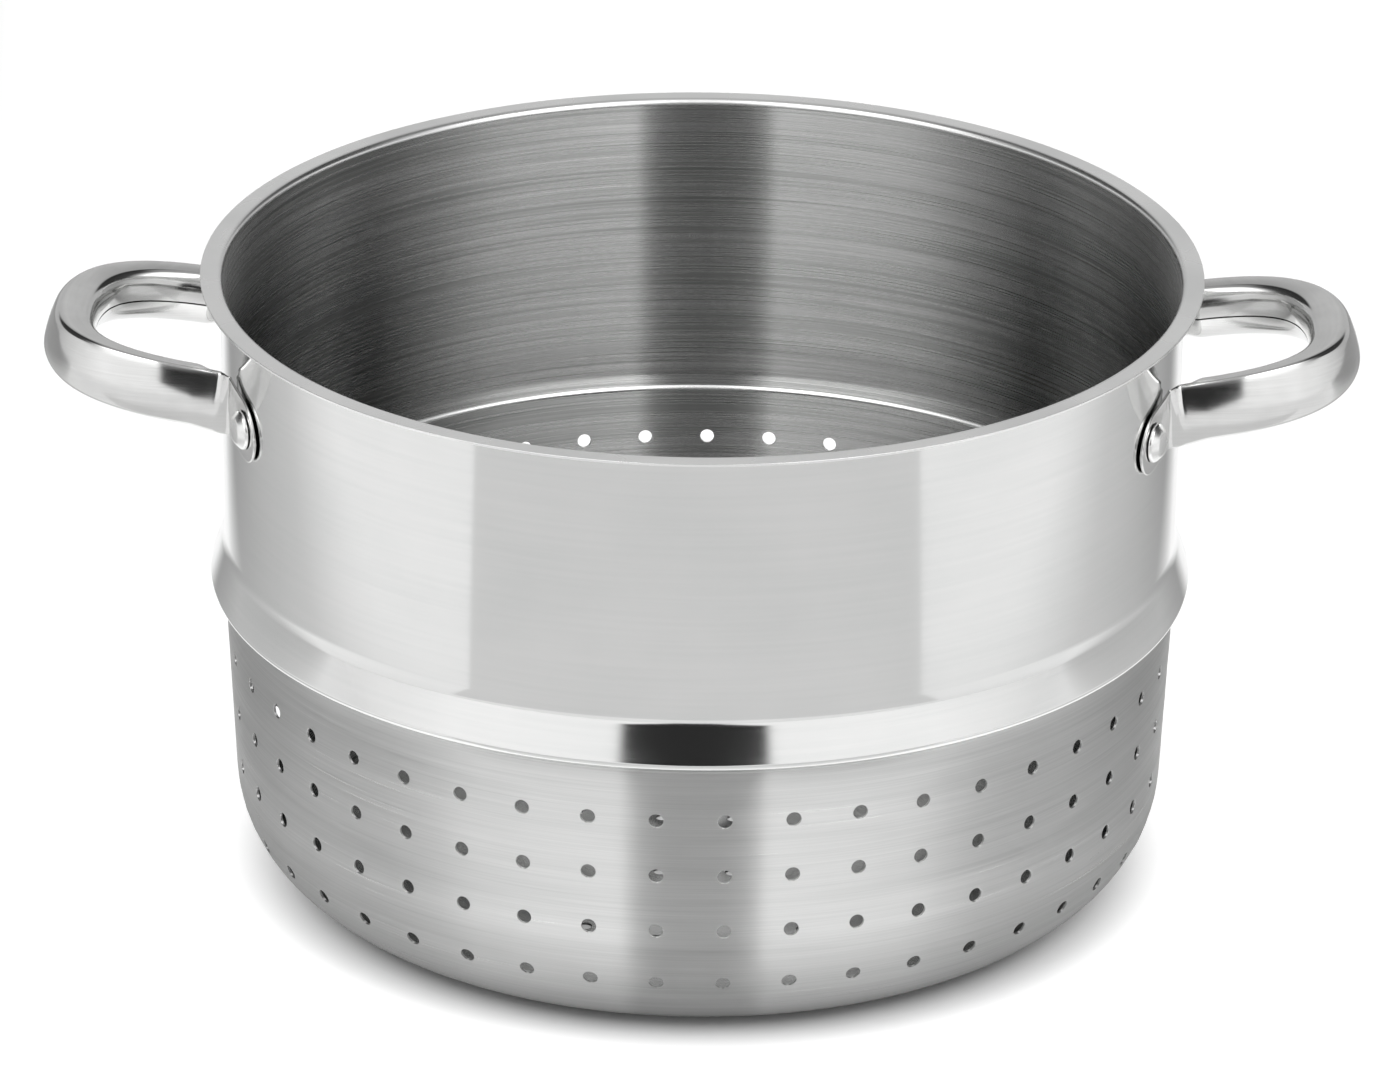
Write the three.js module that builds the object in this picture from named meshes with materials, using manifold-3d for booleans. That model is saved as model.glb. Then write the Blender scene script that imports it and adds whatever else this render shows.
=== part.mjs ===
// Fruit basket of a steam juicer: a perforated drawn pot with two riveted loop handles.
// Millimetres, +Z up, origin at the centre of the underside of the bottom, handles along X.
import * as THREE from 'three';
import { mergeGeometries, mergeVertices } from 'three/addons/utils/BufferGeometryUtils.js';
import Module from 'manifold-3d';

const wasm = await Module();
wasm.setup();

// Shell: sheet, lip and wall
const INNER_DIAMETER = 260;
const SHEET = 0.7;
const UPPER_HEIGHT = 87; // from the edge of the bead up to the rim
const LOWER_HEIGHT = 87.5; // from the underside of the bottom up to the edge of the bead
const LIP_WIDTH = 5.7;
const LIP_BEND = 1;
const WALL_TAPER = 2.62; // degrees, below the bead
const BOTTOM_ROUND = 31.6;

// Shell: the bead that the basket hangs by
const BEAD_WIDTH = 4.2;
const FLARE_HEIGHT = 12.3;
const FLARE_ROUND = 5;
const BEAD_EDGE_ROUND = 1.6;
const BEAD_DROP = 2.6; // how far the underside falls on its way back to the wall
const BEAD_FOOT_ROUND = 1;

// Shell: perforation
const HOLE_DIAMETER = 4;
const COLUMNS = 45;
const ROWS = 4;
const FIRST_ROW = 14.7; // along the wall, from the foot of the bead
const ROW_PITCH = 16.4;
const PUNCH_POINT = 30; // from where a punch enters the sheet to its point
const RING_PITCH = 20; // between the rings of holes in the bottom
const HOLES_PER_RING_STEP = 6; // each ring has this many holes more than the one inside it
const RING_MARGIN = 6; // least distance from a hole's centre to the bottom's round

// Handles: one strip each, rolled into a hollow loop between two flat ears
const HANDLE_SPAN = 80; // over the outer faces of the two arms, where they fold
const HANDLE_REACH = 48.2; // from the wall to the outer face at the tip
const HANDLE_BELOW_RIM = 25.9; // middle of the strip where it folds
const HANDLE_TILT = 9; // degrees, the loop rises outwards
const STRIP = 0.9;
const EAR_HEIGHT = 16.8;
const EAR_FALL = 10; // degrees, an ear falls off towards its end
const RIVET_FROM_ARM = 12; // along the ear, from the outer face of the arm
const FOLD_ROUND = 1;
const BOW_POWER = 2.43; // the loop is a half ellipse in plan, a little squarer than a true one
const BOW_SWELL = 1.7; // and swells a little past the folds
const ARM_HEIGHT = 15.8;
const TIP_HEIGHT = 13.8;
const ARM_DEPTH = 9.8;
const TIP_DEPTH = 13.2;
const LOOP_LIFT = 0.6; // how far the middle of the hollow arm lies above the middle of the flat strip
const LOOP_ROLL = 6; // degrees, the hollow section is rolled so that its outer face looks up
const DEPTH_RUN = 10; // length over which the flat strip opens into the hollow arm
const HOLLOW_FROM = 4.5; // depth from which the arm is hollow
const FACE_LEAN = 4.5; // degrees, how far the outer face looks up further than the rest, at its middle
const FACE_CROWN = 7; // degrees, how far it bends from its middle to either edge
const FACE_RUN = 3; // length over which the flat strip takes its lean and crown
const FACE_ROUND = 1; // along the edges of the outer face, on the arms
const TIP_ROUND = 3.4; // along the same edges, at the tip of the loop
const TIP_POWER = 6; // how late on the bow the edges soften
const BACK_DEPTH = 4.4; // the inner face rounds off over this depth
const BACK_RISE = 7.6; // and over this much of its height, above and below
const SEAM_GAP = 0.5;
const SEAM_DROP = 0.3; // the seam lies this far below the middle of the inner face

// Rivets
const SHANK_DIAMETER = 5;
const HEAD_DIAMETER = 10.8;
const HEAD_TOP_DIAMETER = 6.6;
const HEAD_HEIGHT = 2.3;
const HEAD_EDGE = 0.6;

// Clearance between pieces that are clamped together
const SEAT = 0.3;

// Finishes
const SATIN_STEEL = { color: 0xcacbca, roughness: 0.28 };
const POLISHED_STEEL = { color: 0xd6d6d4, roughness: 0.1 };
const RIVET_STEEL = { color: 0xd0d0ce, roughness: 0.2 };

// Fineness of the facets
const ARC_TOLERANCE = 0.3; // largest distance from an arc to its facets
const ARC_SHARE = 0.25; // and the largest share of its radius
const WALL_HOLE_SIDES = 6;
const BOTTOM_HOLE_SIDES = 6;
const RIVET_SIDES = 14;
const EAR_END_ANGLES = [10, 32, 58, 90]; // degrees round the end of an ear
const FACE_SHARES = [0, 0.25, 0.5, 0.75, 1]; // of the way up the outer face
const FACE_ROUND_SHARES = [0.5, 1]; // of the way round the edges of the outer face
const BACK_ROUND_ANGLES = [0, 30, 60, 90]; // degrees round the edges of the inner face
const LEAST_ROUND = 0.3;
const FOLD_STEPS = 3;
const BOW_STEPS = 11;
const BOW_EASE = 1.5; // the steps are shorter near the fold
const MERGE_TOLERANCE = 1e-4;
const CUT_THROUGH = 3; // how far a cutter passes both faces of a sheet

const wallRadius = INNER_DIAMETER / 2 + SHEET;
const rimHeight = LOWER_HEIGHT + UPPER_HEIGHT;
const beadFoot = LOWER_HEIGHT - BEAD_DROP;
const baseRadius = wallRadius - beadFoot * Math.tan(THREE.MathUtils.degToRad(WALL_TAPER));

// A geometry as a closed solid: only its positions count, and triangles without area are dropped.
function solid(geometry) {
  geometry.deleteAttribute('normal');
  geometry.deleteAttribute('uv');
  const merged = mergeVertices(geometry, MERGE_TOLERANCE);
  const index = merged.index.array;
  const triangles = [];
  for (let i = 0; i < index.length; i += 3) {
    const [a, b, c] = index.slice(i, i + 3);
    if (a !== b && b !== c && c !== a) {
      triangles.push(a, b, c);
    }
  }
  return new wasm.Manifold(new wasm.Mesh({
    numProp: 3,
    vertProperties: Float32Array.from(merged.attributes.position.array),
    triVerts: Uint32Array.from(triangles),
  }));
}

function geometryOf(manifold) {
  const { vertProperties, triVerts } = manifold.getMesh();
  const geometry = new THREE.BufferGeometry();
  geometry.setAttribute('position', new THREE.BufferAttribute(vertProperties, 3));
  geometry.setIndex(new THREE.BufferAttribute(triVerts, 1));
  return geometry;
}

function steel(finish) {
  return new THREE.MeshStandardMaterial({ ...finish, metalness: 1, flatShading: true });
}

function named(name, geometry, material) {
  const mesh = new THREE.Mesh(geometry, material);
  mesh.name = name;
  return mesh;
}

// An open outline with each corner rounded by its own radius.
// Each point has its normal on the right-hand side of the direction of travel.
function roundedOutline(corners) {
  const outline = [];
  const add = (point, direction) => {
    outline.push({ point, normal: new THREE.Vector2(direction.y, -direction.x) });
  };
  const at = corners.map(({ r, z }) => new THREE.Vector2(r, z));
  const heading = at.slice(1).map((p, i) => p.clone().sub(at[i]).normalize());
  add(at[0], heading[0]);
  for (let i = 1; i < at.length - 1; i += 1) {
    const before = heading[i - 1];
    const after = heading[i];
    const turn = Math.atan2(before.cross(after), before.dot(after));
    const radius = corners[i].round;
    const start = at[i].clone().addScaledVector(before, -radius * Math.tan(Math.abs(turn) / 2));
    const side = new THREE.Vector2(-before.y, before.x).multiplyScalar(Math.sign(turn) * radius);
    const centre = start.clone().add(side);
    const widestStep = 2 * Math.acos(1 - Math.min(ARC_TOLERANCE / radius, ARC_SHARE));
    const steps = Math.ceil(Math.abs(turn) / widestStep);
    for (let k = 0; k <= steps; k += 1) {
      const angle = (turn * k) / steps;
      const direction = before.clone().rotateAround(new THREE.Vector2(), angle);
      add(start.clone().rotateAround(centre, angle), direction);
    }
  }
  add(at[at.length - 1], heading[heading.length - 1]);
  return outline;
}

// The point and normal at a distance along an outline.
function along(outline, distance) {
  const lengthOf = (i) => outline[i].point.distanceTo(outline[i + 1].point);
  let i = 0;
  let left = distance;
  while (left > lengthOf(i) && i < outline.length - 2) {
    left -= lengthOf(i);
    i += 1;
  }
  const share = left / lengthOf(i);
  return {
    point: outline[i].point.clone().lerp(outline[i + 1].point, share),
    normal: outline[i].normal.clone().lerp(outline[i + 1].normal, share).normalize(),
  };
}

// The outer face of the shell's sheet, from the lip's edge down to the middle of the bottom.
const bottomCorner = { r: baseRadius, z: 0, round: BOTTOM_ROUND };
const bottomMiddle = { r: 0, z: 0 };
const footCorner = { r: wallRadius, z: beadFoot, round: BEAD_FOOT_ROUND };
const shellCorners = [
  { r: wallRadius + LIP_WIDTH, z: rimHeight - SHEET },
  { r: wallRadius, z: rimHeight - SHEET, round: LIP_BEND },
  { r: wallRadius, z: LOWER_HEIGHT + FLARE_HEIGHT, round: FLARE_ROUND },
  { r: wallRadius + BEAD_WIDTH, z: LOWER_HEIGHT, round: BEAD_EDGE_ROUND },
  footCorner,
  bottomCorner,
  bottomMiddle,
];

function drawnPot() {
  const outer = roundedOutline(shellCorners);
  const inner = outer.map(({ point, normal }) => point.clone().addScaledVector(normal, SHEET));
  const profile = [...outer.map(({ point }) => point).reverse(), ...inner];
  return new THREE.LatheGeometry(profile, COLUMNS).rotateX(Math.PI / 2);
}

// A slender punch along +Y whose hole measures the full diameter where it enters the sheet, at the origin.
function pointedPunch(sides) {
  const length = PUNCH_POINT + CUT_THROUGH;
  const radius = ((HOLE_DIAMETER / 2) * length) / PUNCH_POINT;
  return new THREE.ConeGeometry(radius, length, sides).translate(0, length / 2 - CUT_THROUGH, 0);
}

// Round punches through the lower wall, square to the sheet, one above each other in columns.
function wallPunches() {
  const wall = roundedOutline([footCorner, bottomCorner, bottomMiddle]);
  const punches = [];
  for (let row = 0; row < ROWS; row += 1) {
    const { point, normal } = along(wall, FIRST_ROW + row * ROW_PITCH);
    const slope = Math.atan2(normal.y, -normal.x);
    for (let column = 0; column < COLUMNS; column += 1) {
      const punch = pointedPunch(WALL_HOLE_SIDES);
      punch.rotateX(slope);
      punch.translate(0, -point.x, point.y);
      punch.rotateZ(((column + 0.5) * 2 * Math.PI) / COLUMNS);
      punches.push(punch);
    }
  }
  return punches;
}

// Rings of holes in the flat of the bottom. The middle stays whole.
function bottomPunches() {
  const flatRadius = baseRadius - BOTTOM_ROUND;
  const punches = [];
  for (let ring = 1; ring * RING_PITCH + RING_MARGIN < flatRadius; ring += 1) {
    const count = ring * HOLES_PER_RING_STEP;
    for (let k = 0; k < count; k += 1) {
      const punch = pointedPunch(BOTTOM_HOLE_SIDES);
      punch.rotateX(Math.PI / 2);
      punch.translate(ring * RING_PITCH, 0, 0);
      punch.rotateZ((k * 2 * Math.PI) / count);
      punches.push(punch);
    }
  }
  return punches;
}

function basketShell() {
  const punches = mergeGeometries([...wallPunches(), ...bottomPunches()]);
  const punched = solid(drawnPot()).subtract(solid(punches));
  return named('basket_shell', geometryOf(punched), steel(SATIN_STEEL));
}

// A closed solid through a row of rings that have the same number of points.
function loft(rings) {
  const size = rings[0].length;
  const positions = rings.flat().flatMap((p) => p.toArray());
  const index = [];
  for (let i = 0; i < rings.length - 1; i += 1) {
    for (let k = 0; k < size; k += 1) {
      const a = i * size + k;
      const b = i * size + ((k + 1) % size);
      index.push(a, b, b + size, a, b + size, a + size);
    }
  }
  const last = (rings.length - 1) * size;
  for (let k = 1; k < size - 1; k += 1) {
    index.push(0, k + 1, k);
    index.push(last, last + k, last + k + 1);
  }
  const geometry = new THREE.BufferGeometry();
  geometry.setAttribute('position', new THREE.Float32BufferAttribute(positions, 3));
  geometry.setIndex(index);
  return geometry;
}

// The ears are flat, and touch the wall at the rivet.
const halfSpan = HANDLE_SPAN / 2;
const earFace = wallRadius + SEAT + STRIP; // from the axis of the basket to the outer face of the ear
const rivetAngle = Math.asin(halfSpan / Math.hypot(earFace, RIVET_FROM_ARM))
  + Math.atan2(RIVET_FROM_ARM, earFace);
const tilt = THREE.MathUtils.degToRad(HANDLE_TILT);
const earFall = Math.tan(THREE.MathUtils.degToRad(EAR_FALL));
const foldHeight = rimHeight - HANDLE_BELOW_RIM;
const rivetHeight = foldHeight - RIVET_FROM_ARM * earFall;

// Places along the outer face of the front half of the strip, from the ear's end to the tip of the loop.
// Each has its position at mid-height, its heading and lean, and the height and depth of the section there.
function frontStations() {
  const outward = new THREE.Vector2(Math.cos(rivetAngle), -Math.sin(rivetAngle));
  const earHeading = Math.PI / 2 - rivetAngle;
  const towardsArm = new THREE.Vector2(Math.cos(earHeading), Math.sin(earHeading));
  const onEar = (distance) => outward.clone().multiplyScalar(earFace).addScaledVector(towardsArm, distance);
  const stations = [];
  const add = (plan, z, heading, lean, height, depth, crowned = 0, softened = 0) => {
    const place = new THREE.Vector3(plan.x, plan.y, z);
    stations.push({ place, heading, lean, height, depth, crowned, softened });
  };

  for (const degrees of EAR_END_ANGLES) {
    const angle = THREE.MathUtils.degToRad(degrees);
    const distance = (-EAR_HEIGHT / 2) * Math.cos(angle);
    const height = EAR_HEIGHT * Math.sin(angle);
    add(onEar(distance), rivetHeight + distance * earFall, earHeading, 0, height, STRIP);
  }

  const foldStart = onEar(RIVET_FROM_ARM - FOLD_ROUND * Math.tan(earHeading / 2));
  const foldCentre = foldStart.clone().addScaledVector(outward, FOLD_ROUND);
  const armStart = foldStart.clone().rotateAround(foldCentre, -earHeading);
  for (let k = 0; k <= FOLD_STEPS; k += 1) {
    const share = k / FOLD_STEPS;
    const plan = foldStart.clone().rotateAround(foldCentre, -earHeading * share);
    add(plan, foldHeight, earHeading * (1 - share), tilt * share, EAR_HEIGHT, STRIP);
  }

  // The bow, from the fold round to the tip
  const reach = wallRadius + HANDLE_REACH - armStart.x;
  const power = 2 / BOW_POWER;
  for (let k = 1; k <= BOW_STEPS; k += 1) {
    const angle = ((k / BOW_STEPS) ** BOW_EASE * Math.PI) / 2;
    const sine = Math.sin(angle);
    const cosine = Math.cos(angle);
    const run = reach * sine ** power;
    const across = halfSpan * cosine ** power + BOW_SWELL * Math.sin(2 * angle);
    const runRate = reach * power * sine ** (power - 1) * cosine;
    const acrossRate = halfSpan * power * cosine ** (power - 1) * sine - 2 * BOW_SWELL * Math.cos(2 * angle);
    const heading = k < BOW_STEPS ? Math.atan2(acrossRate, runRate) : Math.PI / 2;
    const plan = new THREE.Vector2(armStart.x + run, k < BOW_STEPS ? -across : 0);
    const turned = Math.sin(heading) ** 2;
    const opened = THREE.MathUtils.smoothstep(run, 0, DEPTH_RUN);
    const fullDepth = THREE.MathUtils.lerp(ARM_DEPTH, TIP_DEPTH, turned);
    const fullHeight = THREE.MathUtils.lerp(ARM_HEIGHT, TIP_HEIGHT, turned);
    const z = foldHeight + run * Math.tan(tilt) + LOOP_LIFT * opened;
    const height = THREE.MathUtils.lerp(EAR_HEIGHT, fullHeight, opened);
    const depth = THREE.MathUtils.lerp(STRIP, fullDepth, opened);
    const crowned = THREE.MathUtils.smoothstep(run, 0, FACE_RUN);
    add(plan, z, heading, tilt, height, depth, crowned, turned ** (TIP_POWER / 2));
  }
  return stations;
}

// The whole strip: the front half, and the rear half as its mirror image in reverse.
function stripStations() {
  const front = frontStations();
  const rear = front.slice(0, -1).reverse().map((station) => ({
    ...station,
    place: station.place.clone().multiply(new THREE.Vector3(1, -1, 1)),
    heading: Math.PI - station.heading,
  }));
  return [...front, ...rear];
}

// Carries a section's point into space: depth runs from the outer face inwards, level runs up it.
function carry({ place, heading, lean }, depth, level) {
  const up = new THREE.Vector3(-Math.sin(lean), 0, Math.cos(lean));
  const ahead = Math.cos(heading);
  const travel = new THREE.Vector3(ahead, Math.sin(heading), ahead * Math.tan(lean));
  const inward = up.clone().cross(travel).normalize();
  return place.clone().addScaledVector(inward, depth).addScaledVector(up, level);
}

// A rounded section, as [depth, level] pairs going round it, drawn in by a wall on all sides.
// The outer face is crowned, the top is flat and the inner face is a dome.
// The whole section is rolled back about its lower outer edge.
function section({ height, depth, crowned, softened }, wall) {
  const top = height / 2 - wall;
  const back = depth - wall;
  const edge = Math.min(THREE.MathUtils.lerp(FACE_ROUND, TIP_ROUND, softened), depth / 2.2);
  const round = wall ? Math.max(edge - wall, LEAST_ROUND) : edge;
  const low = THREE.MathUtils.degToRad(FACE_LEAN - FACE_CROWN) * crowned;
  const high = THREE.MathUtils.degToRad(FACE_LEAN + FACE_CROWN) * crowned;
  const lowEnd = round - top + round * Math.sin(low);
  const highEnd = top - round + round * Math.sin(high);
  const rise = highEnd - lowEnd;
  const face = FACE_SHARES.map((share) => {
    const slope = Math.tan(low) * share + ((Math.tan(high) - Math.tan(low)) * share ** 2) / 2;
    return [wall + rise * slope, lowEnd + rise * share];
  });
  const roundOff = (angle, end, share, centreLevel) => {
    const turned = THREE.MathUtils.lerp(angle, Math.PI / 2, share);
    const centreDepth = end + round * Math.cos(angle);
    return [centreDepth - round * Math.cos(turned), centreLevel + round * Math.sin(turned)];
  };
  const lowRound = FACE_ROUND_SHARES.map((share) => {
    const [d, level] = roundOff(-low, wall, share, top - round);
    return [d, -level];
  });
  const faceTop = face[face.length - 1][0];
  const highRound = FACE_ROUND_SHARES.map((share) => roundOff(high, faceTop, share, top - round));
  const topStart = highRound[highRound.length - 1][0];
  const backDepth = Math.min(Math.max(BACK_DEPTH - wall, LEAST_ROUND), back - topStart);
  const backRise = Math.min((backDepth * BACK_RISE) / BACK_DEPTH, top - LEAST_ROUND);
  const backRound = BACK_ROUND_ANGLES.map((degrees) => {
    const angle = THREE.MathUtils.degToRad(degrees);
    return [back - backDepth + backDepth * Math.sin(angle), top - backRise + backRise * Math.cos(angle)];
  });
  const lowBack = backRound.map(([d, level]) => [d, -level]);
  return [...lowRound, ...lowBack, ...backRound.reverse(), ...highRound.reverse(), ...face.reverse()];
}

// Turns a section's point about the section's lower outer edge.
function rolled({ height, crowned }, depth, level) {
  const roll = THREE.MathUtils.degToRad(LOOP_ROLL) * crowned;
  const rise = level + height / 2;
  const turnedDepth = depth * Math.cos(roll) + rise * Math.sin(roll);
  return [turnedDepth, rise * Math.cos(roll) - depth * Math.sin(roll) - height / 2];
}

function handle(name) {
  const stations = stripStations();
  const hollow = stations.filter(({ depth }) => depth > HOLLOW_FROM);
  const ringOf = (station, pairs) => pairs.map(([d, l]) => carry(station, ...rolled(station, d, l)));
  const outside = loft(stations.map((s) => ringOf(s, section(s, 0))));
  const inside = loft(hollow.map((s) => ringOf(s, section(s, STRIP))));
  const seam = loft(hollow.map((s) => {
    const high = -SEAM_DROP + SEAM_GAP / 2;
    const low = -SEAM_DROP - SEAM_GAP / 2;
    const deep = s.depth / 2;
    const past = s.depth + CUT_THROUGH;
    return ringOf(s, [[deep, low], [past, low], [past, high], [deep, high]]);
  }));
  const holes = [-rivetAngle, rivetAngle].map((angle) => {
    const hole = new THREE.CylinderGeometry(
      SHANK_DIAMETER / 2 + SEAT, SHANK_DIAMETER / 2 + SEAT, STRIP + 2 * CUT_THROUGH, RIVET_SIDES);
    hole.rotateZ(-Math.PI / 2);
    hole.translate(earFace - STRIP / 2, 0, rivetHeight);
    return hole.rotateZ(angle);
  });
  const strip = solid(outside).subtract(solid(inside)).subtract(solid(seam));
  const drilled = strip.subtract(solid(mergeGeometries(holes)));
  return named(name, geometryOf(drilled), steel(POLISHED_STEEL));
}

// A stud that stands on the wall, passes through the ear and holds it with a button head.
function rivet(name, angle) {
  const foot = wallRadius + SEAT;
  const shoulder = earFace + SEAT;
  const profile = [
    [0, foot],
    [SHANK_DIAMETER / 2, foot],
    [SHANK_DIAMETER / 2, shoulder],
    [HEAD_DIAMETER / 2, shoulder],
    [HEAD_DIAMETER / 2, shoulder + HEAD_EDGE],
    [HEAD_TOP_DIAMETER / 2, shoulder + HEAD_HEIGHT],
    [0, shoulder + HEAD_HEIGHT],
  ].map(([r, d]) => new THREE.Vector2(r, d));
  const stud = solid(new THREE.LatheGeometry(profile, RIVET_SIDES));
  const mesh = named(name, geometryOf(stud), steel(RIVET_STEEL));
  mesh.rotation.z = -Math.PI / 2;
  const turned = new THREE.Group();
  turned.rotation.z = angle;
  turned.position.z = rivetHeight;
  return turned.add(mesh);
}

// A handle with its two rivets, turned about the axis of the basket.
function handleSide(side, turn) {
  const group = new THREE.Group();
  const nearFront = turn === 0 ? -rivetAngle : rivetAngle;
  group.add(handle(`handle_${side}`));
  group.add(rivet(`rivet_${side}_front`, nearFront));
  group.add(rivet(`rivet_${side}_rear`, -nearFront));
  group.rotation.z = turn;
  return group;
}

const basket = new THREE.Group();
basket.add(basketShell());
basket.add(handleSide('right', 0));
basket.add(handleSide('left', Math.PI));

export default basket;
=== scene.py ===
import math

import bmesh
import bpy
from mathutils import Matrix, Vector


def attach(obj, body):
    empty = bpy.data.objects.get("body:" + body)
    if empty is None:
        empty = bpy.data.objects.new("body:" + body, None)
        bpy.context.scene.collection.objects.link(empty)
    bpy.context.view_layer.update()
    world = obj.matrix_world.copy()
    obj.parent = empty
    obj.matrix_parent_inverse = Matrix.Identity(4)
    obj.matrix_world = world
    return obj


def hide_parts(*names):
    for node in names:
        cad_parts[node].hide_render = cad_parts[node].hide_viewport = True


MM = 0.001

# Drawn basket: radii and heights on the outer face of the sheet, in millimetres
SHEET = 0.7
RIM = 174.5
WALL = 130.7
LIP_EDGE = 136.05
LIP_BEND = 1.0
FLARE_TOP = 99.8
FLARE_ROUND = 12.0
BEAD = 134.9
BEAD_TOP = 87.5
BEAD_ROUND = 1.6
BEAD_FOOT = 84.9
BEAD_FOOT_ROUND = 1.0
WALL_TAPER = math.radians(2.62)
CORNER_ROUND = 31.6
SHEET_EDGE_ROUND = 0.12
SHEET_EDGE_STEPS = 2
SHEET_EDGE_ANGLE = math.radians(60)
BOTTOM_LEVEL = 0.05
BEND_STEP = math.radians(14)
CORNER_STEPS = 14
NEAR = 0.01
SHELL_CREASE = 40

# Perforation: holes by their radius, rows by their distance down the wall from the bead
COLUMNS = 45
COLUMN_STEPS = 6
HOLE = 2.0
HOLE_SIDES = 16
HOLE_SURROUND = 3.1
SURROUND_REACH = 3.5
HOLE_BLOCK = 5.6
BLOCK_REACH = 8.6
WALL_ROWS = (14.7, 31.1, 47.5, 63.9)
ROW_STEP = 3.0
BOTTOM_RINGS = 4
RING_PITCH = 20.0
FIRST_RING = 6

# Loop handle
SPAN = 80.0
HANDLE_REACH = 48.0
FOLD_HEIGHT = 148.6
TILT = math.radians(9)
STRIP = 0.9
EAR_GAP = 0.3
EAR_HEIGHT = 16.8
EAR_FALL = math.tan(math.radians(10))
RIVET_FROM_ARM = 12.0
FOLD_ROUND = 1.0
BOW_POWER = 2 / 2.43
BOW_SWELL = 1.1
ARM_HEIGHT = 15.8
TIP_HEIGHT = 13.8
ARM_DEPTH = 9.8
TIP_DEPTH = 13.2
LOOP_LIFT = 0.6
LOOP_ROLL = math.radians(6)
DEPTH_RUN = 10.0
FACE_LEAN = math.radians(4.5)
FACE_CROWN = math.radians(7)
FACE_RUN = 3.0
FACE_ROUND = 1.0
TIP_ROUND = 3.4
TIP_POWER = 5
BACK_DEPTH = 4.4
BACK_RISE = 7.6
SEAM_LEVEL = -0.3
SEAM_GAP = 0.5
SEAM_DEEP = 1.4
SEAM_START = 5.0
BACK_FACING = 0.6
BACK_SQUARE = 3
EDGE_SHARE = 1 / 2.2
BACK_SHARE = 0.96
EAR_STEPS = 12
EAR_RINGS = (4.0, 8.0)
EAR_END_REACH = 3
HANDLE_CREASE = 38
FOLD_STEPS = 6
BOW_STEPS = 64
BOW_CROWDING = 1.5
FACE_STEPS = 8
EDGE_STEPS = 6
BACK_STEPS = 12

# Rivet: radii and lengths
SHANK = 2.5
SHANK_LONG = EAR_GAP + STRIP
HEAD = 5.4
HEAD_TOP = 3.3
HEAD_EDGE = 0.6
HEAD_HIGH = 2.3
HEAD_ROUND = 0.55
HEAD_CLEAR = 0.3
HEAD_ROUND_STEPS = 4
RIVET_CREASE = 35
RIVET_SIDES = 48
RIVET_GAP = 0.3
DRILL_SIDES = 32
DRILL_LONG = 8.0

# Finishes: where they change on the shell, the shares of their marks, and the heights between which shade
# is painted low on the wall
WALL_FINISH_TOP = BEAD_FOOT + 0.4
LEDGE_FINISH_LOW = BEAD_FOOT - 1.5
BOTTOM_FINISH_TOP = 0.3
UNDER_FLOOR = -1
BRUSH_DRAWN = 0.88
LINE_SHARE = 0.6
GRAIN_SHARE = 0.75
GRAIN_RANGE = (0.33, 0.67)
GRAIN_DETAIL = 2.0
GRAIN_ROUGH = 0.6
LINE_GRAIN = (1.0, 1.0)
STREAK_GRAIN = (0.35, 0.7)
CLOUD_GRAIN = (0.03, 0.9)
CLOUD_SHARE = 0.6
BUFF_RANGE = (0.35, 0.65)
BUFF_DETAIL = 3.0
HAIR_DETAIL = 2.0
HAIR_TURN = (0.3, 0.2, 0.5)
HAIR_STRETCH = (0.6, 0.6, 26.0)
PAINTED_SHADE_LOW = 3
PAINTED_SHADE_HIGH = 36

# Studio: brightness round the horizon, by degrees from the camera's side; the lamp in watts and metres
LOW_LIGHT = (
    (0, 0.02), (15.5, 0.02), (17.5, 0.88), (55, 0.88), (76, 0.77), (95, 0.66), (110, 0.55), (127, 0.42),
    (180, 0.44)
)
MID_LIGHT = (
    (0, 0.20), (16, 0.20), (17, 1.25), (45, 1.20), (57, 1.10), (70, 0.55), (82, 0.18), (95, 0.04),
    (148, 0.03), (157, 0.42), (180, 0.50)
)
HIGH_LIGHT = (
    (0, 0.38), (16, 0.38), (17, 2.50), (45, 2.45), (57, 2.20), (70, 1.00), (82, 0.32), (95, 0.05),
    (148, 0.02), (157, 0.35), (180, 0.35)
)
TOP_LIGHT = ((0, 0.30), (16, 0.30), (17, 1.90), (45, 1.80), (70, 0.55), (95, 0.25), (180, 0.35))
OVERHEAD = ((0, 0.45), (180, 0.45))
BANDS_ABOVE = ((MID_LIGHT, 15, 19), (HIGH_LIGHT, 29, 38), (TOP_LIGHT, 58, 66), (OVERHEAD, 72, 80))
ROOM_STRENGTH = 1.36
GAP_HALF = 16.5
GAP_FRONT = 20
GAP_SIDE = 45
GAP_FOOT = -3
GAP_FULL = 5
LAMP_POWER = 8.5
LAMP_SIZE = 1.6
LAMP_PLACE = (0, -0.2, 2.2)

# Floor: tones, and distances in metres, for painted light near the basket, a painted shadow at its bottom
# edge and painted shade to the sides and behind
FLOOR_HALF = 6.0
FLOOR_TONE = 0.8
FLOOR_GLOW = 0.22
# Painted light that lifts the floor near the basket, and the painted shadow ring close round it
NEAR_PAINTED_LIGHT = 1.5
NEAR_FROM = 0.17
NEAR_TO = 0.36
SHADOW_FROM = 0.108
SHADOW_TO = 0.130
# Painted shade on the floor outside the camera's view, to the sides and behind
SIDE_TONE = 0.38
SIDE_FADE = 0.06
SIDE_FROM = 0.37
SIDE_MOST = 0.45
SIDE_SLOPE = 1.6
VIEW_HALF = 0.2
VIEW_SPREAD = 0.083
BEHIND_START = -0.14
BEHIND_FULL = 0.4

# Sheet on the floor in front, in millimetres, which greys the middle of the upper wall
FRONT_TONE = 0.6
FRONT_GLOW = 0.72
FRONT_SWING = math.radians(57)
FRONT_HALF = 62
FRONT_PLACE = -115
FRONT_NEAR = 46
FRONT_SETBACK = 20
FRONT_FAR = 1500
FRONT_LIFT = 0.3

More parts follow.
